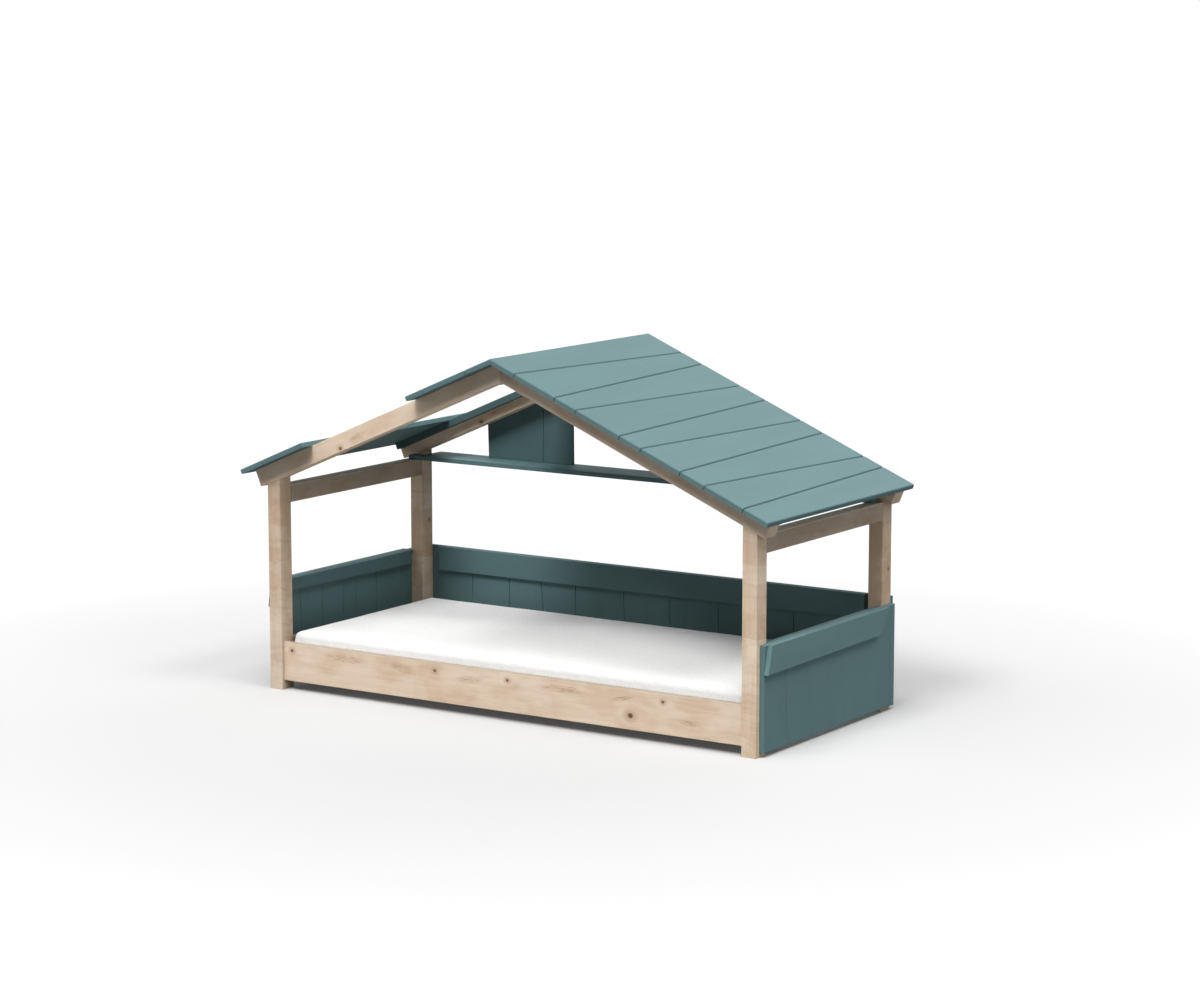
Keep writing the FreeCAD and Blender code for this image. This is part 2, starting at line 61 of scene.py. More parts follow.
class Signal:
    """A number that varies over a surface; arithmetic on it adds Math nodes."""

    def __init__(self, finish, socket):
        self.finish = finish
        self.socket = socket

    def maths(self, operation, *terms):
        """One Math node on the terms, in order."""
        return self.finish.number("ShaderNodeMath", {"operation": operation}, dict(enumerate(terms)))

    def __add__(self, other):
        return self.maths("ADD", self, other)

    __radd__ = __add__

    def __sub__(self, other):
        return self.maths("SUBTRACT", self, other)

    def __rsub__(self, other):
        return self.maths("SUBTRACT", other, self)

    def __mul__(self, other):
        return self.maths("MULTIPLY", self, other)

    __rmul__ = __mul__

    def __truediv__(self, other):
        return self.maths("DIVIDE", self, other)

    def __pow__(self, other):
        return self.maths("POWER", self, other)

    def __abs__(self):
        return self.maths("ABSOLUTE", self)

    def above(self, level):
        """1 where this is over the level, else 0."""
        return self.maths("GREATER_THAN", self, level)

    def at_most(self, level):
        """The smaller of this and the level."""
        return self.maths("MINIMUM", self, level)

    def floor(self):
        """Whole part."""
        return self.maths("FLOOR", self)

    def sine(self):
        """Sine of this, in radians."""
        return self.maths("SINE", self)

    def fade(self, start, end, low=0.0, high=1.0):
        """Smooth step from low at start to high at end."""
        settings = {"interpolation_type": "SMOOTHSTEP"}
        sockets = {"Value": self, "From Min": start, "From Max": end, "To Min": low, "To Max": high}
        return self.finish.number("ShaderNodeMapRange", settings, sockets)


class Finish:
    """One material and the nodes it is made of."""

    def __init__(self, name):
        self.material = bpy.data.materials.new(name)
        self.material.use_nodes = True
        self.tree = self.material.node_tree
        self.tree.nodes.clear()

    def node(self, kind, settings=None, sockets=None):
        """Any node: its settings first, then the values or links of its sockets."""
        made = self.tree.nodes.new(kind)
        for name, value in (settings or {}).items():
            setattr(made, name, value)
        for name, value in (sockets or {}).items():
            target = made.inputs[name]
            if isinstance(value, Signal):
                self.tree.links.new(value.socket, target)
            elif isinstance(value, bpy.types.NodeSocket):
                self.tree.links.new(value, target)
            else:
                target.default_value = value
        return made

    def number(self, kind, settings=None, sockets=None):
        """A node whose first output is used as a number."""
        return Signal(self, self.node(kind, settings, sockets).outputs[0])

    def place(self):
        """Place on the piece, in metres, as three numbers."""
        coordinates = self.node("ShaderNodeTexCoord").outputs["Object"]
        parts = self.node("ShaderNodeSeparateXYZ", sockets={"Vector": coordinates})
        return tuple(Signal(self, parts.outputs[axis]) for axis in ("X", "Y", "Z"))

    def vector(self, x, y, z):
        """Three numbers joined into a vector."""
        return self.node("ShaderNodeCombineXYZ", sockets={"X": x, "Y": y, "Z": z}).outputs[0]

    def cloud(self, where, scale=1.0, detail=2.0, roughness=0.5):
        """Soft noise from 0 to 1 at a place."""
        sockets = {"Vector": where, "Scale": scale, "Detail": detail, "Roughness": roughness}
        return self.number("ShaderNodeTexNoise", sockets=sockets)

    def speckle(self, where):
        """A different number from 0 to 1 for each whole place."""
        return self.number("ShaderNodeTexWhiteNoise", {"noise_dimensions": "3D"}, {"Vector": where})

    def mix(self, amount, first, second):
        """Colour between two colours."""
        settings = {"data_type": "RGBA", "clamp_factor": True}
        sockets = {0: amount, 6: first, 7: second}
        return self.node("ShaderNodeMix", settings, sockets).outputs[2]

    def bump(self, height, depth, strength=1.0, under=None):
        """Relief of a height from 0 to 1, with its depth in metres, over another relief if given."""
        sockets = {"Height": height, "Distance": depth, "Strength": strength}
        if under is not None:
            sockets["Normal"] = under
        return self.node("ShaderNodeBump", sockets=sockets).outputs[0]

    def surface(self, colour, roughness, relief=None, constants=None):
        """Join everything to a Principled shader and give back the material."""
        sockets = {"Base Color": colour, "Roughness": roughness}
        if relief is not None:
            sockets["Normal"] = relief
        sockets.update(constants or {})
        shader = self.node("ShaderNodeBsdfPrincipled", sockets=sockets)
        self.node("ShaderNodeOutputMaterial", sockets={"Surface": shader.outputs[0]})
        return self.material


# ---- sizes and colours that a user would change ----

class TimberSettings(bpy.types.PropertyGroup):
    """Colours of the clear-coated timber."""

    light: FloatVectorProperty(
        name="Light Wood", description="Pale wood between the rings",
        subtype="COLOR", size=3, min=0.0, max=1.0, default=(0.750, 0.628, 0.502),
    )
    warm: FloatVectorProperty(
        name="Warm Wood", description="Warmer wood of the rings",
        subtype="COLOR", size=3, min=0.0, max=1.0, default=(0.560, 0.408, 0.278),
    )
    flame: FloatVectorProperty(
        name="Flame", description="Brown wood of the flecks and round the knots",
        subtype="COLOR", size=3, min=0.0, max=1.0, default=(0.39, 0.225, 0.130),
    )
    knot: FloatVectorProperty(
        name="Knot", description="Dark wood of a knot",
        subtype="COLOR", size=3, min=0.0, max=1.0, default=(0.125, 0.060, 0.032),
    )
    roughness: FloatProperty(
        name="Roughness", description="Roughness of the clear coat", min=0.0, max=1.0, default=0.52,
    )


class PaintSettings(bpy.types.PropertyGroup):
    """Colour of the painted boards."""

    colour: FloatVectorProperty(
        name="Paint", description="Grey-green paint of the boards",
        subtype="COLOR", size=3, min=0.0, max=1.0, default=(0.097, 0.1655, 0.1715),
    )
    roughness: FloatProperty(
        name="Roughness", description="Roughness of the paint", min=0.0, max=1.0, default=0.56,
    )


class MattressSettings(bpy.types.PropertyGroup):
    """Sizes and colour of the mattress."""

    corner: FloatProperty(
        name="Corner Radius", description="Radius of the corners seen from above",
        unit="LENGTH", min=0.01, max=0.2, default=0.030,
    )
    roll: FloatProperty(
        name="Edge Roll", description="Radius of the rolled top and bottom edges",
        unit="LENGTH", min=0.005, max=0.06, default=0.030,
    )
    valley: FloatProperty(
        name="Seam Drop", description="How far below the top the seam valley runs round the sides",
        unit="LENGTH", min=0.0, max=0.07, default=0.030,
    )
    swell: FloatProperty(
        name="Swell", description="Most that the cover moves while it is filled",
        unit="LENGTH", min=0.0, max=0.03, default=0.005,
    )
    frames: IntProperty(
        name="Filling Steps", description="Steps of the cloth simulation that fills the cover",
        min=1, max=60, default=12,
    )
    colour: FloatVectorProperty(
        name="Cover", description="White of the brushed cotton cover",
        subtype="COLOR", size=3, min=0.0, max=1.0, default=(0.750, 0.747, 0.743),
    )


class StudioSettings(bpy.types.PropertyGroup):
    """Camera, lamps and floor."""

    camera_place: FloatVectorProperty(
        name="Camera Place", description="Where the camera stands",
        subtype="TRANSLATION", size=3, default=(6.6585, -10.0040, 2.6131),
    )
    camera_down: FloatProperty(
        name="Camera Pitch", description="How far the camera looks down",
        subtype="ANGLE", default=math.radians(8.844),
    )
    camera_turn: FloatProperty(
        name="Camera Turn", description="How far the camera is turned from looking along Y",
        subtype="ANGLE", default=math.radians(33.184),
    )
    lens: FloatProperty(
        name="Lens", description="Focal length in millimetres", min=10.0, max=300.0, default=98.82,
    )
    brightness: FloatProperty(
        name="Brightness", description="Strength of all the lamps together",
        min=0.0, max=5.0, default=1.0,
    )
    softness: FloatProperty(
        name="Softness", description="Width of each lamp, against its own width in LAMPS",
        min=0.1, max=3.0, default=1.0,
    )


# Each lamp: name, turn from straight in front, height angle, width angle and strength
LAMPS = (
    ("front", 0.0, 49.0, 18.0, 0.65),
    ("front left", -33.0, 52.0, 24.0, 0.17),
    ("front right", 30.0, 60.0, 24.0, 0.26),
    ("right", 62.0, 62.0, 20.0, 0.20),
    ("far right", 90.0, 56.0, 16.0, 0.27),
    ("low right", 80.0, 18.0, 36.0, 0.24),
    ("low left", -60.0, 12.0, 36.0, 0.21),
    ("top", 0.0, 82.0, 18.0, 0.40),
    ("back", 180.0, 40.0, 40.0, 0.22),
)


# Floor: half width in metres, its greys to the camera and to bounced light, its glow near the bed
# and far from it, and the squares of the distances between which the glow grows
FLOOR_REACH = 60.0
FLOOR_SEEN = 0.455
FLOOR_DULL = 0.18
GLOW_NEAR = 0.055
GLOW_FAR = 0.20
GLOW_GROWS = (1.5, 14.0)


# ---- finishes ----

def grey(tone):
    """Grey of a tone, as a colour."""
    return tone, tone, tone, 1.0


def up_the_slope(x, z, grain):
    """Place along the roof's slope and square to it. Works on numbers and on signals."""
    turn = ROOF_PITCH if grain == "slope+" else -ROOF_PITCH
    return x * math.cos(turn) + z * math.sin(turn), z * math.cos(turn) - x * math.sin(turn)


# How far the wood is shifted between the front and the back, and between the left and the right
BACK_SHIFT = 0.61
RIGHT_SHIFT = 0.37


def grain_place(finish, grain):
    """Place along the grain, across it and in depth. grain is X, Y, Z, or the roof's slope, + or -.

    Pieces on the two sides of the bed are cut from different lengths of the same wood.
    """
    x, y, z = finish.place()
    if grain == "X":
        return x + y.above(0.0) * BACK_SHIFT, z, y
    if grain == "Y":
        return y + x.above(0.0) * RIGHT_SHIFT, z, x
    if grain == "Z":
        return z + x.above(0.0) * RIGHT_SHIFT + y.above(0.0) * BACK_SHIFT, x, y
    along, across = up_the_slope(x, z, grain)
    return along + y.above(0.0) * BACK_SHIFT, across, y


def knot_place(finish, grain):
    """The two places that a knot is given by: along the grain, and across the face it shows on."""
    x, y, z = finish.place()
    if grain == "X":
        return x, z
    if grain == "Z":
        return z, y
    return up_the_slope(x, z, grain)


def knot_marks(along, across, knots):
    """Knots of given place and radius: how far the grain is pushed aside, the halo and the core."""
    push = halo = core = None
    for centre_along, centre_across, radius in knots:
        off_along = (along - centre_along) * 0.85
        off_across = across - centre_across
        distance = (off_along * off_along + off_across * off_across) ** 0.5
        one_push = distance.fade(radius * 8, radius, 0.0, 1.0) * off_across * 0.6
        one_halo = distance.fade(radius * 3.6, radius * 0.9)
        one_core = distance.fade(radius * 1.15, radius * 0.55)
        push = one_push if push is None else push + one_push
        halo = one_halo if halo is None else halo + one_halo
        core = one_core if core is None else core + one_core
    return push, halo, core


def flame_marks(finish, along, across, marks):
    """Patches of brown flecks. Each mark: middle along and across, half length, half height, tilt."""
    total = None
    for middle_along, middle_across, half_length, half_height, tilt in marks:
        off_along = along - middle_along
        off_across = across - middle_across - off_along * tilt
        distance = ((off_along / half_length) ** 2.0 + (off_across / half_height) ** 2.0) ** 0.5
        patch = distance.fade(1.0, 0.2)
        where = finish.vector(off_along * 34.0, off_across * 330.0, middle_along)
        lines = finish.cloud(where, 1.0, 3.0, 0.65)
        one = patch * (lines.fade(0.46, 0.60) * 0.75 + 0.22)
        total = one if total is None else total + one
    return total


# Climb of the posts' joints along X, from 1 m each side of the bed's middle, and along Y
JOINT_CLIMB = (0.12, 0.05)


def block_tones(along, blocks):
    """Tone of each jointed block of a post. blocks: its lower end, in metres, and its tone."""
    tone = joint = None
    last = 0.0
    for height, level in blocks:
        over = along.above(height)
        tone = over * (level - last) if tone is None else tone + over * (level - last)
        line = abs(along - height).fade(0.0016, 0.0005)
        joint = line if joint is None else joint + line
        last = level
    return tone, joint


def timber(name, grain, knots=(), flames=(), blocks=(), shade=1.0, top_light_and_shade=None):
    """Pale clear-coated softwood, with its grain along one way, its knots and its jointed blocks.

    Painted light and shade of the top face, if given: the level over which it begins, and its share of
    the piece's tone, under 1 for painted shade and over 1 for painted light. shade scales the whole
    piece's colour for the light where it stands, a painted shade under 1 and painted light over 1.
    """
    settings = bpy.context.scene.house_bed_timber
    finish = Finish(name)
    along, across, depth = grain_place(finish, grain)
    if knots:
        push, halo, core = knot_marks(*knot_place(finish, grain), knots)
        if grain == "Z":
            depth = depth - push
        else:
            across = across - push
    broad = finish.cloud(finish.vector(along * 1.3, across * 9.0, depth * 9.0), 1.0, 3.0, 0.55)
    patch = finish.cloud(finish.vector(along * 5.3, across * 11.0, depth * 11.0), 1.0, 3.0, 0.55)
    rings = ((across * 190.0 + broad * 30.0 + depth * 70.0).sine() * 0.5 + 0.5) ** 1.8
    streak = finish.cloud(finish.vector(along * 7.0, across * 190.0, depth * 190.0), 1.0, 3.0, 0.6)
    fibre = finish.cloud(finish.vector(along * 70.0, across * 1500.0, depth * 1500.0), 1.0, 1.0, 0.5)
    amount = broad.fade(0.30, 0.72) * 0.34 + rings * 0.09 + streak.fade(0.35, 0.70) * 0.20
    amount = amount + patch.fade(0.40, 0.62) * 0.42
    if blocks:
        x, y, z = finish.place()
        climb_x, climb_y = JOINT_CLIMB
        climb_here = climb_x if "right" in name else -climb_x
        tone, joint = block_tones(z + x * climb_x + y * climb_y - climb_here, blocks)
        cross = finish.cloud(finish.vector(x * 9.0, y * 9.0, z * 52.0 + broad * 5.0), 1.0, 3.0, 0.55)
        amount = amount + tone + cross.fade(0.44, 0.68) * 0.30 + joint.at_most(1.0) * 0.16
    # Both wood colours are scaled by shade, a painted shade under 1 and painted light over 1.
    light, warm = (
        (*(channel * shade for channel in tint), 1.0) for tint in (settings.light, settings.warm)
    )
    colour = finish.mix(amount, light, warm)
    colour = finish.mix(fibre.fade(0.60, 0.85) * 0.18, colour, warm)
    # Painted light and shade of the top face: over the level the colour becomes the pale wood scaled by
    # its share.
    if top_light_and_shade:
        level, share = top_light_and_shade
        top = tuple(channel * share for channel in light)
        colour = finish.mix(finish.place()[2].above(level), colour, top)
    if flames:
        marks = flame_marks(finish, *knot_place(finish, grain), flames)
        colour = finish.mix((marks * 0.85).at_most(0.70), colour, (*settings.flame, 1.0))
    if knots:
        colour = finish.mix((halo * 0.52).at_most(0.52), colour, (*settings.flame, 1.0))
        colour = finish.mix((core * 0.96).at_most(0.96), colour, (*settings.knot, 1.0))
    relief = finish.bump(streak * 0.6 + fibre * 0.4, 0.00018, 0.55)
    roughness = streak * 0.12 + (settings.roughness - 0.06)
    return finish.surface(colour, roughness, relief, {"IOR": 1.45, "Specular IOR Level": 0.2})


def planed_wood(name, grain):
    """Raw planed softwood of the slats, cleats and packer."""
    settings = bpy.context.scene.house_bed_timber
    finish = Finish(name)
    along, across, depth = grain_place(finish, grain)
    if grain == "Y":
        x = finish.place()[0]
        low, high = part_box("slats")
        slat = ((x - low.x) / ((high.x - low.x) / SLATS)).floor()
        along = along + finish.speckle(finish.vector(slat, 1.0, 2.0)) * 7.0
        across = x
    broad = finish.cloud(finish.vector(along * 1.1, across * 16.0, depth * 5.0), 1.0, 3.0, 0.55)
    streak = finish.cloud(finish.vector(along * 6.0, across * 240.0, depth * 120.0), 1.0, 3.0, 0.6)
    rings = ((across * 330.0 + broad * 22.0).sine() * 0.5 + 0.5) ** 2.0
    amount = broad.fade(0.3, 0.8) * 0.45 + rings * 0.20 + streak * 0.25
    colour = finish.mix(amount, (*settings.light, 1.0), (*settings.warm, 1.0))
    relief = finish.bump(streak * 0.7 + rings * 0.3, 0.0003, 0.7)
    return finish.surface(colour, streak * 0.15 + 0.60, relief, {"IOR": 1.45})


def painted(name, grain, offset=0.0, shade=1.0):
    """Matt paint over planed boards: brush drag along the board, with the wood's figure faint in it."""
    settings = bpy.context.scene.house_bed_paint
    finish = Finish(name)
    along, across, depth = grain_place(finish, grain)
    along = along + offset
    broad = finish.cloud(finish.vector(along * 1.6, across * 10.0, depth * 10.0), 1.0, 3.0, 0.5)
    drag = finish.cloud(finish.vector(along * 9.0, across * 420.0, depth * 420.0), 1.0, 2.0, 0.6)
    figure = ((across * 150.0 + depth * 90.0 + broad * 22.0).sine() * 0.5 + 0.5) ** 3.0
    peel = finish.cloud(finish.vector(along * 300.0, across * 300.0, depth * 300.0), 1.0, 2.0, 0.5)
    # shade scales the paint: a painted shade under 1 and painted light over 1, for the light where the
    # boards stand.
    dark = tuple(channel * shade * 0.87 for channel in settings.colour)
    pale = tuple(channel * shade * 1.10 for channel in settings.colour)
    tone = broad.fade(0.25, 0.75) * 0.36 + drag * 0.12 + figure * 0.03 + 0.22
    colour = finish.mix(tone, (*dark, 1.0), (*pale, 1.0))
    relief = finish.bump(drag * 0.35 + figure * 0.25 + peel * 0.40, 0.00012, 0.45)
    roughness = drag * 0.10 + peel * 0.06 + (settings.roughness - 0.08)
    return finish.surface(colour, roughness, relief, {"IOR": 1.46, "Specular IOR Level": 0.08})


def zinc_plate(name):
    """Zinc-plated steel with faint turning marks."""
    finish = Finish(name)
    x, y, z = finish.place()
    cloud = finish.cloud(finish.vector(x * 180.0, y * 60.0, z * 180.0), 1.0, 3.0, 0.6)
    lines = finish.cloud(finish.vector(x * 60.0, y * 4000.0, z * 60.0), 1.0, 1.0, 0.5)
    colour = finish.mix(cloud, (0.58, 0.60, 0.63, 1.0), (0.72, 0.72, 0.70, 1.0))
    relief = finish.bump(lines, 0.00004, 0.4)
    return finish.surface(colour, cloud * 0.18 + 0.26, relief, {"Metallic": 1.0})


def turned_beech(name):
    """Raw beech of the dowels, with its short flecks."""
    finish = Finish(name)
    x, y, z = finish.place()
    fleck = finish.cloud(finish.vector(x * 220.0, y * 900.0, z * 900.0), 1.0, 2.0, 0.5)
    tone = finish.cloud(finish.vector(x * 12.0, y * 70.0, z * 70.0), 1.0, 2.0, 0.5)
    colour = finish.mix(tone, (0.66, 0.46, 0.29, 1.0), (0.56, 0.37, 0.22, 1.0))
    colour = finish.mix(fleck.fade(0.6, 0.8) * 0.5, colour, (0.36, 0.21, 0.11, 1.0))
    return finish.surface(colour, fleck * 0.1 + 0.6, finish.bump(fleck, 0.0001, 0.5), {"IOR": 1.45})


def brushed_cotton(name):
    """White brushed cotton: a close knit under a short soft nap."""
    settings = bpy.context.scene.house_bed_mattress
    finish = Finish(name)
    x, y, z = finish.place()
    where = finish.vector(x, y, z)
    nap = finish.cloud(where, 520.0, 3.0, 0.65)
    tuft = finish.cloud(where, 190.0, 3.0, 0.6)
    drape = finish.cloud(finish.vector(x * 2.2, y * 3.4, z * 6.0), 1.0, 2.0, 0.5)
    ribs = ((x * 2400.0).sine() * (y * 2400.0).sine()) * 0.5 + 0.5
    shade = tuple(channel * 0.90 for channel in settings.colour)
    tone = nap * 0.25 + tuft * 0.60 + drape * 0.15
    colour = finish.mix(tone.fade(0.40, 0.60), (*shade, 1.0), (*settings.colour, 1.0))
    relief = finish.bump(drape, 0.004, 0.5)
    relief = finish.bump(nap * 0.55 + tuft * 0.30 + ribs * 0.15, 0.0007, 0.65, relief)
    sheen = {"Sheen Weight": 0.25, "Sheen Roughness": 0.5, "IOR": 1.4, "Specular IOR Level": 0.25,
             "Diffuse Roughness": 0.6}
    return finish.surface(colour, nap * 0.1 + 0.82, relief, sheen)


# ---- mattress ----

# Skin of the cover: close spacing of its points, their wide spacing and the margin of close ones, all
# in metres, and how far inside the block it starts, as a share of the swell
PLAN_SPACING = (0.008, 0.022, 0.088)
SIDE_SPACING = (0.006, 0.012, 0.030)
START_INSIDE = 0.8

# Cloth settings of the cover while it is filled
FILLING = {
    "quality": 4,
    "mass": 0.3,
    "tension_stiffness": 12.0,
    "compression_stiffness": 12.0,
    "bending_stiffness": 4.0,
    "use_pressure": True,
    "uniform_pressure_force": 4.0,
}

# Unevenness of the cover, in metres: rise of the middle, broad waves and ripples of the top, most
# rise over the block, pulls near the corners, waves of the sides, half width and depth of the valley
CROWN = 0.0022
WAVE = 0.0014
RIPPLE = 0.0004
CROWN_LIMIT = 0.004
PULL = 0.0009
SIDE_WAVE = 0.0010
SEAM_WIDTH = 0.010
SEAM_DEPTH = 0.0030


def rounded_plan(x, y, half_x, half_y, corner):
    """Point of a square-cornered plan moved to a round-cornered one.

    Also gives back how far inside the edge it is, and the way outwards.
    """
    over_x = abs(x) - (half_x - corner)
    over_y = abs(y) - (half_y - corner)
    sign = Vector((math.copysign(1.0, x), math.copysign(1.0, y)))
    if over_x > 0.0 and over_y > 0.0:
        reach = max(over_x, over_y)
        way = Vector((over_x, over_y)).normalized()
        point = Vector((half_x - corner + way.x * reach, half_y - corner + way.y * reach))
        return point * sign, corner - reach, way * sign
    if over_x - over_y > 0.0:
        return Vector((x, y)), half_x - abs(x), Vector((sign.x, 0.0))
    return Vector((x, y)), half_y - abs(y), Vector((0.0, sign.y))


def spaced(half, fine, coarse, margin):
    """Places from -half to half, closely spaced in a margin at each end and further apart between."""
    edge = [half - margin + fine * step for step in range(1, int(round(margin / fine)) + 1)]
    steps = max(1, int(round((half - margin) * 2 / coarse)))
    inner = [-(half - margin) + (half - margin) * 2 * step / steps for step in range(steps + 1)]
    return [-place for place in reversed(edge)] + inner + edge


def mattress_block(low, high, settings):
    """Closed skin of a rectangular block with rounded corners and rolled edges."""
    middle = (low + high) / 2
    half = (high - low) / 2
    xs = spaced(half.x, *PLAN_SPACING)
    ys = spaced(half.y, *PLAN_SPACING)
    zs = spaced(half.z, *SIDE_SPACING)
    mesh = bmesh.new()
    made = {}

    def corner_point(x, y, z):
        key = (round(x, 6), round(y, 6), round(z, 6))
        if key in made:
            return made[key]
        plan, inward, way = rounded_plan(x, y, half.x, half.y, settings.corner)
        below = half.z - abs(z)
        roll = settings.roll
        if inward < roll and below < roll:
            across, up = roll - inward, roll - below
            reach = max(across, up)
            length = math.hypot(across, up) or 1.0
            across, up = across / length * reach, up / length * reach
            plan = plan + way * (across - (roll - inward))
            z = math.copysign(half.z - roll + up, z)
        made[key] = mesh.verts.new((middle.x + plan.x, middle.y + plan.y, middle.z + z))
        return made[key]

    def skin(first, second, point):
        for a, b in zip(first, first[1:]):
            for c, d in zip(second, second[1:]):
                corners = [point(a, c), point(b, c), point(b, d), point(a, d)]
                if len(set(corners)) == 4:
                    mesh.faces.new(corners)

    for side in (-1.0, 1.0):
        skin(xs, ys, lambda a, b, s=side: corner_point(a, b, s * half.z))
        skin(xs, zs, lambda a, b, s=side: corner_point(a, s * half.y, b))
        skin(ys, zs, lambda a, b, s=side: corner_point(s * half.x, a, b))
    bmesh.ops.recalc_face_normals(mesh, faces=mesh.faces)
    data = bpy.data.meshes.new("mattress_cover")
    mesh.to_mesh(data)
    mesh.free()
    cover = bpy.data.objects.new("mattress_cover", data)
    bpy.context.scene.collection.objects.link(cover)
    return cover


def fill_cover(cover, settings):
    """Blow the cover out a little as cloth, with each point kept within the swell of its start."""
    scene = bpy.context.scene
    start = [vertex.co.copy() for vertex in cover.data.vertices]
    cloth = cover.modifiers.new("filling", "CLOTH")
    for name, value in FILLING.items():
        setattr(cloth.settings, name, value)
    cloth.settings.effector_weights.gravity = 0.0
    cloth.point_cache.frame_start = 1
    cloth.point_cache.frame_end = settings.frames
    for step in range(1, settings.frames + 1):
        scene.frame_set(step)
    filled = cover.evaluated_get(bpy.context.evaluated_depsgraph_get()).to_mesh()
    moved = [vertex.co.copy() for vertex in filled.vertices]
    cover.modifiers.remove(cloth)
    scene.frame_set(1)
    for vertex, was, now in zip(cover.data.vertices, start, moved):
        step = now - was
        if step.length > settings.swell:
            step = step.normalized() * settings.swell
        vertex.co = was + step


def settle_cover(cover, low, high, settings):
    """Soft unevenness of the cover: shallow hollows on top, pulls near the corners, flat below."""
    middle = (low + high) / 2
    half = (high - low) / 2
    for vertex in cover.data.vertices:
        co = vertex.co
        across_x = (co.x - middle.x) / half.x
        across_y = (co.y - middle.y) / half.y
        height = (co.z - low.z) / (high.z - low.z)
        wave = noise.noise(Vector((co.x * 3.1, co.y * 4.3, 1.7)))
        ripple = noise.noise(Vector((co.x * 11.0, co.y * 13.0, 5.1)))
        if height > 0.9:
            crown = (1.0 - across_x ** 6) * (1.0 - across_y ** 4)
            co.z += CROWN * crown + WAVE * wave + RIPPLE * ripple
        elif height > 0.15:
            corner = max(0.0, abs(across_x) - 0.86) / 0.14 + max(0.0, abs(across_y) - 0.72) / 0.28
            pull = math.sin(co.x * 62.0 + co.y * 71.0 + height * 9.0) * PULL * min(1.0, corner)
            side = math.sin(height * math.pi)
            from_seam = (co.z - (high.z - settings.valley)) / SEAM_WIDTH
            valley = math.exp(-from_seam ** 2) * SEAM_DEPTH
            outward = Vector((
                across_x if abs(across_x) > 0.98 else 0.0,
                across_y if abs(across_y) > 0.96 else 0.0,
                0.0,
            ))
            if outward.length > 0.0:
                co += outward.normalized() * (pull + SIDE_WAVE * wave * side - valley)
        co.z = max(co.z, low.z)
        co.z = min(co.z, high.z + CROWN_LIMIT)


# ---- marks of the timber, in metres ----

# Knots: place along the grain, place across it and radius. Flames (patches of brown flecks): middle
# along and across, half length, half height and tilt. Blocks of a post: lower end and tone.
RAIL_KNOTS = (
    (-0.968, 0.1526, 0.0062),
    (-0.305, 0.1516, 0.0056),
    (0.0175, 0.1526, 0.0054),
    (0.544, 0.0870, 0.0105),
    (0.679, 0.1516, 0.0056),
)
RAIL_FLAMES = (
    (-0.720, 0.150, 0.130, 0.022, -0.05),
    (-0.460, 0.146, 0.075, 0.022, -0.20),
    (0.250, 0.148, 0.130, 0.020, 0.02),
    (0.510, 0.145, 0.070, 0.014, 0.28),
    (0.785, 0.089, 0.060, 0.014, -0.03),
    (-0.150, 0.136, 0.080, 0.018, 0.06),
)
LEFT_KNOTS = ((*up_the_slope(-0.7170, 0.9415, "slope+"), 0.0062),)
LEFT_FLAMES = ((*up_the_slope(-0.640, 0.992, "slope+"), 0.060, 0.014, 0.05),)
BACK_KNOTS = ((0.5245, 0.4714, 0.0056),)
LEFT_BLOCKS = ((0.0, 0.0), (0.0585, 0.14), (0.178, -0.04), (0.280, 0.16), (0.391, 0.26),
               (0.470, 0.42), (0.512, 0.24), (0.600, 0.44), (0.700, 0.34))
RIGHT_BLOCKS = ((0.0, -0.08), (0.136, 0.10), (0.206, -0.08), (0.276, 0.02), (0.335, -0.12),
                (0.399, 0.40), (0.483, 0.24), (0.547, 0.16), (0.591, -0.14), (0.655, 0.10),
                (0.735, 0.0))

# Top faces with painted light and shade: a painted shade darkens the front rail's top face, and painted
# light lifts the end rails' top faces out of their painted shade; the level over which it begins, and
# its share of the tone
ARRIS = 0.0025
FRONT_RAIL_TOP_SHADE = (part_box("side_rail_front")[1].z - ARRIS, 0.5)
END_RAIL_TOP_LIGHT = (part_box("top_end_rail_left")[1].z - ARRIS, 1.8)

# Posts: place, knots, blocks and painted shade, which darkens each post for the shade it stands in
POSTS = (
    ("front left", (), LEFT_BLOCKS, 0.86),
    ("front right", (), RIGHT_BLOCKS, 0.96),
    ("back left", BACK_KNOTS, RIGHT_BLOCKS, 0.82),
    ("back right", BACK_KNOTS, LEFT_BLOCKS, 0.79),
)

# Paint: name, way of the grain, painted light and shade (under 1 darkens boards that stand in shade,
# over 1 lightens boards that stand in light) and the starts of the pieces' names
PAINTS = (
    ("long board paint", "X", 0.94, ("shelf", "back_band")),
    ("inner band paint", "Y", 0.74, ("left_inner_band", "right_inner_band")),
    ("outer band paint", "Y", 1.22, ("left_outer_band", "right_outer_band")),
    ("upright board paint", "Z", 1.06, ("back_planks",)),
    ("left board paint", "Z", 0.84, ("gable_plank", "left_end_planks")),
    ("end board paint", "Z", 1.14, ("right_end",)),
    ("right batten paint", "slope-", 1.0, ("roof_batten_front_right", "roof_batten_back_right")),
    ("left batten paint", "slope+", 0.60, ("roof_batten_front_left", "roof_batten_back_left")),
)
ROOF_BOARD_SHIFT = 1.37


# ---- operators, one for each group of like pieces ----

def dress(names, material):
    """Give CAD pieces a finish."""
    for name in names:
        piece = PIECES[name]
        piece.data.materials.clear()
        piece.data.materials.append(material)


def named(*starts):
    """Names of the CAD pieces that begin in one of these ways."""
    return [name for name in sorted(PIECES) if name.startswith(starts)]


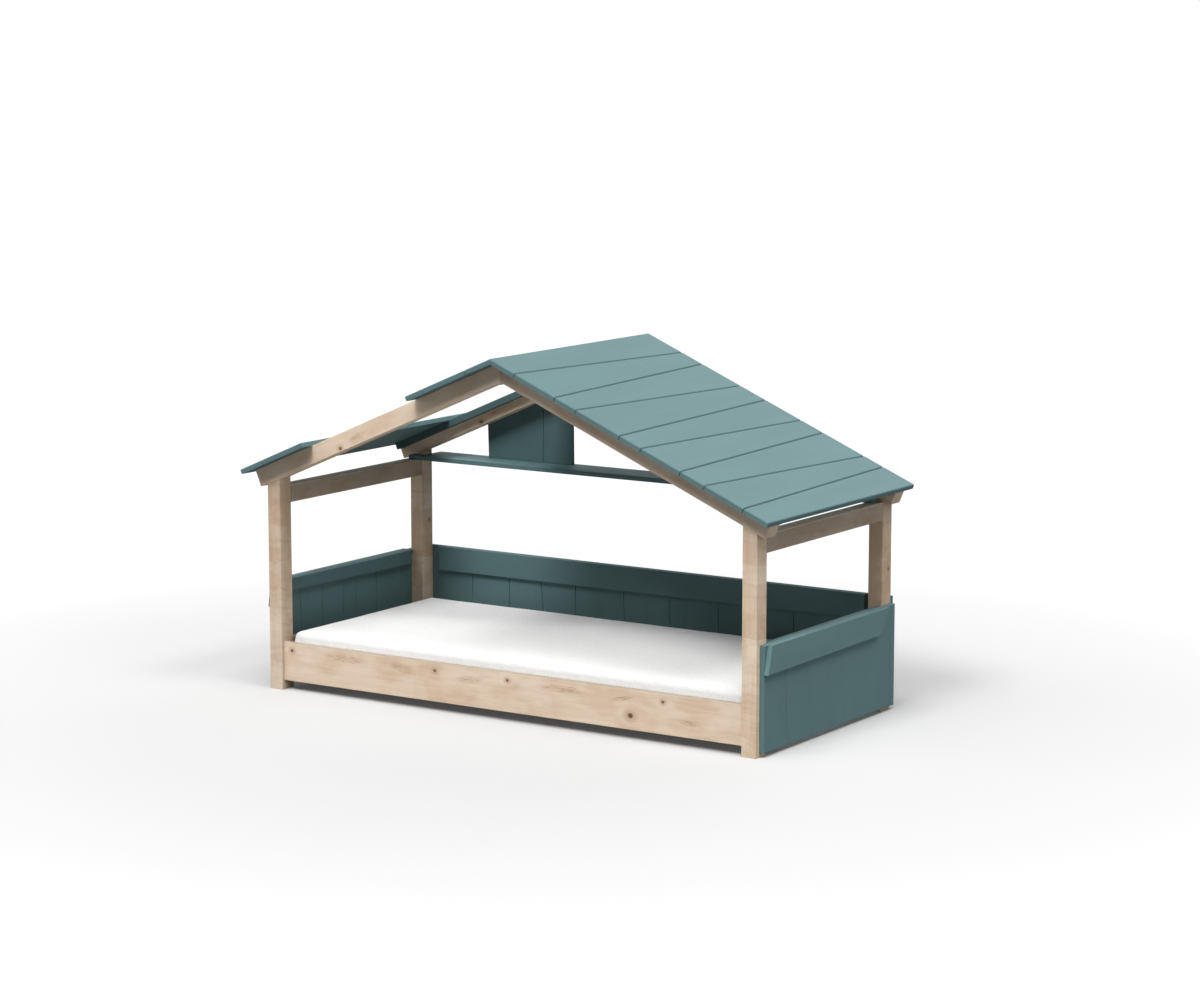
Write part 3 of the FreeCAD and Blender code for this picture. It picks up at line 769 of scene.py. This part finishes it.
class HOUSEBED_OT_frame_timber(bpy.types.Operator):
    """Finish the posts, rails and rafters in clear-coated timber"""

    bl_idname = "house_bed.frame_timber"
    bl_label = "Frame Timber"

    def execute(self, context):
        # Each post's timber is darkened by its painted shade from POSTS.
        for place, knots, blocks, shade in POSTS:
            finish = timber(place + " post timber", "Z", knots, blocks=blocks, shade=shade)
            dress(["post_" + place.replace(" ", "_")], finish)
        # The front rail's top face is darkened by a painted shade.
        dress(["side_rail_front"],
              timber("front rail timber", "X", RAIL_KNOTS, RAIL_FLAMES, top_light_and_shade=FRONT_RAIL_TOP_SHADE))
        dress(["side_rail_back"], timber("back rail timber", "X"))
        # The end rails are darkened by a painted shade, with painted light on the top end rails' top
        # faces.
        dress(named("lower_end_rail", "top_end_rail"),
              timber("end rail timber", "Y", shade=0.54, top_light_and_shade=END_RAIL_TOP_LIGHT))
        # The right rafters are darkened by a painted shade.
        dress(named("rafter_front_right", "rafter_back_right"),
              timber("right rafter timber", "slope-", shade=0.86))
        dress(named("rafter_front_left", "rafter_back_left"),
              timber("left rafter timber", "slope+", LEFT_KNOTS, LEFT_FLAMES))
        return {"FINISHED"}


class HOUSEBED_OT_slatted_base(bpy.types.Operator):
    """Finish the slats, cleats, packer, dowels and cam fittings"""

    bl_idname = "house_bed.slatted_base"
    bl_label = "Slatted Base and Fittings"

    def execute(self, context):
        dress(["slats"], planed_wood("slat wood", "Y"))
        dress(named("slat_cleat", "back_rail_packer"), planed_wood("cleat wood", "X"))
        dress(["rafter_dowels"], turned_beech("dowel beech"))
        dress(named("cam_"), zinc_plate("zinc plate"))
        return {"FINISHED"}


class HOUSEBED_OT_painted_boards(bpy.types.Operator):
    """Paint the roof, shelf, gable, ends and back"""

    bl_idname = "house_bed.painted_boards"
    bl_label = "Painted Boards"

    def execute(self, context):
        for place, name in enumerate(named("roof_board")):
            dress([name], painted(name + " paint", "Y", place * ROOF_BOARD_SHIFT))
        # Each group's paint is scaled by its painted light and shade from PAINTS.
        for name, grain, shade, starts in PAINTS:
            dress(named(*starts), painted(name, grain, shade=shade))
        return {"FINISHED"}


class HOUSEBED_OT_mattress(bpy.types.Operator):
    """Make the mattress in its white cover and put it in place of the plain block"""

    bl_idname = "house_bed.mattress"
    bl_label = "Mattress"

    def execute(self, context):
        settings = context.scene.house_bed_mattress
        low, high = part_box(MATTRESS)
        inset = Vector((settings.swell, settings.swell, settings.swell)) * START_INSIDE
        cover = mattress_block(low + inset, high - inset, settings)
        fill_cover(cover, settings)
        settle_cover(cover, low, high, settings)
        cover.data.shade_smooth()
        smooth = cover.modifiers.new("smooth", "SUBSURF")
        smooth.levels = 1
        smooth.render_levels = 1
        cover.data.materials.append(brushed_cotton("brushed cotton"))
        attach(cover, MATTRESS)
        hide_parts(MATTRESS)
        return {"FINISHED"}


class HOUSEBED_OT_studio(bpy.types.Operator):
    """Set up the floor, the lamps, the room light and the camera"""

    bl_idname = "house_bed.studio"
    bl_label = "Studio"

    def execute(self, context):
        scene = context.scene
        settings = scene.house_bed_studio
        self.lay_floor()
        self.light_room(scene)
        self.hang_lamps(scene, settings)
        self.place_camera(scene, settings)
        scene.view_settings.view_transform = "Standard"
        return {"FINISHED"}

    def lay_floor(self):
        """A wide pale floor that keeps the shadow and melts into the white room."""
        ways = ((-1, -1), (1, -1), (1, 1), (-1, 1))
        data = bpy.data.meshes.new("floor")
        corners = [(FLOOR_REACH * x, FLOOR_REACH * y, 0.0) for x, y in ways]
        data.from_pydata(corners, [], [(0, 1, 2, 3)])
        floor = bpy.data.objects.new("floor", data)
        bpy.context.scene.collection.objects.link(floor)
        finish = Finish("floor")
        seen = finish.node("ShaderNodeLightPath").outputs["Is Camera Ray"]
        dull = finish.node("ShaderNodeBsdfDiffuse", sockets={"Color": grey(FLOOR_DULL)})
        x, y, _ = finish.place()
        glow = finish.mix((x * x + y * y).fade(*GLOW_GROWS), grey(GLOW_NEAR), grey(GLOW_FAR))
        pale = finish.node("ShaderNodeBsdfPrincipled", sockets={
            "Base Color": grey(FLOOR_SEEN), "Roughness": 1.0, "Specular IOR Level": 0.0,
            "Emission Color": glow, "Emission Strength": 1.0,
        })
        sockets = {0: seen, 1: dull.outputs[0], 2: pale.outputs[0]}
        choose = finish.node("ShaderNodeMixShader", sockets=sockets)
        finish.node("ShaderNodeOutputMaterial", sockets={"Surface": choose.outputs[0]})
        data.materials.append(finish.material)

    def light_room(self, scene):
        """A room that is white to look at and in reflections, and adds no light of its own."""
        world = bpy.data.worlds.new("studio")
        world.use_nodes = True
        tree = world.node_tree
        tree.nodes.clear()
        path = tree.nodes.new("ShaderNodeLightPath")
        seen = tree.nodes.new("ShaderNodeMath")
        seen.operation = "MAXIMUM"
        through = tree.nodes.new("ShaderNodeMath")
        through.operation = "MAXIMUM"
        room = tree.nodes.new("ShaderNodeBackground")
        room.inputs["Color"].default_value = grey(1.0)
        out = tree.nodes.new("ShaderNodeOutputWorld")
        tree.links.new(path.outputs["Is Camera Ray"], seen.inputs[0])
        tree.links.new(path.outputs["Is Glossy Ray"], seen.inputs[1])
        tree.links.new(seen.outputs[0], through.inputs[0])
        tree.links.new(path.outputs["Is Transmission Ray"], through.inputs[1])
        tree.links.new(through.outputs[0], room.inputs["Strength"])
        tree.links.new(room.outputs[0], out.inputs["Surface"])
        scene.world = world

    def hang_lamps(self, scene, settings):
        """Soft lamps round the front and above, the strongest high in front."""
        for name, turn, height, width, strength in LAMPS:
            lamp = bpy.data.lights.new(name, "SUN")
            lamp.energy = math.pi * strength * settings.brightness
            lamp.angle = math.radians(width) * settings.softness
            hung = bpy.data.objects.new(name, lamp)
            hung.rotation_euler = (math.radians(90.0 - height), 0.0, math.radians(turn))
            scene.collection.objects.link(hung)

    def place_camera(self, scene, settings):
        """The camera at the place and angle of the photograph."""
        data = bpy.data.cameras.new("camera")
        data.sensor_fit = "HORIZONTAL"
        data.sensor_width = 36.0
        data.lens = settings.lens
        data.clip_end = 200.0
        camera = bpy.data.objects.new("camera", data)
        camera.location = settings.camera_place
        camera.rotation_euler = (math.pi / 2 - settings.camera_down, 0.0, settings.camera_turn)
        scene.collection.objects.link(camera)
        scene.camera = camera


class HOUSEBED_PT_sidebar(bpy.types.Panel):
    """Panel that lists the settings and the steps"""

    bl_idname = "HOUSEBED_PT_sidebar"
    bl_label = "House Frame Bed"
    bl_space_type = "VIEW_3D"
    bl_region_type = "UI"
    bl_category = "House Bed"

    def draw(self, context):
        layout = self.layout
        for group_name, operators in STEPS:
            if group_name:
                group = getattr(context.scene, group_name)
                box = layout.box()
                for field in group.__annotations__:
                    box.prop(group, field)
            for operator in operators:
                layout.operator(operator.bl_idname)


STEPS = (
    ("house_bed_timber", (HOUSEBED_OT_frame_timber, HOUSEBED_OT_slatted_base)),
    ("house_bed_paint", (HOUSEBED_OT_painted_boards,)),
    ("house_bed_mattress", (HOUSEBED_OT_mattress,)),
    ("house_bed_studio", (HOUSEBED_OT_studio,)),
)
GROUPS = {
    "house_bed_timber": TimberSettings,
    "house_bed_paint": PaintSettings,
    "house_bed_mattress": MattressSettings,
    "house_bed_studio": StudioSettings,
}


def register():
    """Register the settings, the operators and the panel."""
    for name, group in GROUPS.items():
        bpy.utils.register_class(group)
        setattr(bpy.types.Scene, name, PointerProperty(type=group))
    for _, operators in STEPS:
        for operator in operators:
            bpy.utils.register_class(operator)
    bpy.utils.register_class(HOUSEBED_PT_sidebar)


def unregister():
    """Take everything away again, in reverse."""
    bpy.utils.unregister_class(HOUSEBED_PT_sidebar)
    for _, operators in reversed(STEPS):
        for operator in reversed(operators):
            bpy.utils.unregister_class(operator)
    for name, group in reversed(GROUPS.items()):
        delattr(bpy.types.Scene, name)
        bpy.utils.unregister_class(group)


def main():
    """Run every step in order."""
    register()
    bpy.ops.house_bed.frame_timber()
    bpy.ops.house_bed.slatted_base()
    bpy.ops.house_bed.painted_boards()
    bpy.ops.house_bed.mattress()
    bpy.ops.house_bed.studio()


if __name__ == "__main__":
    main()
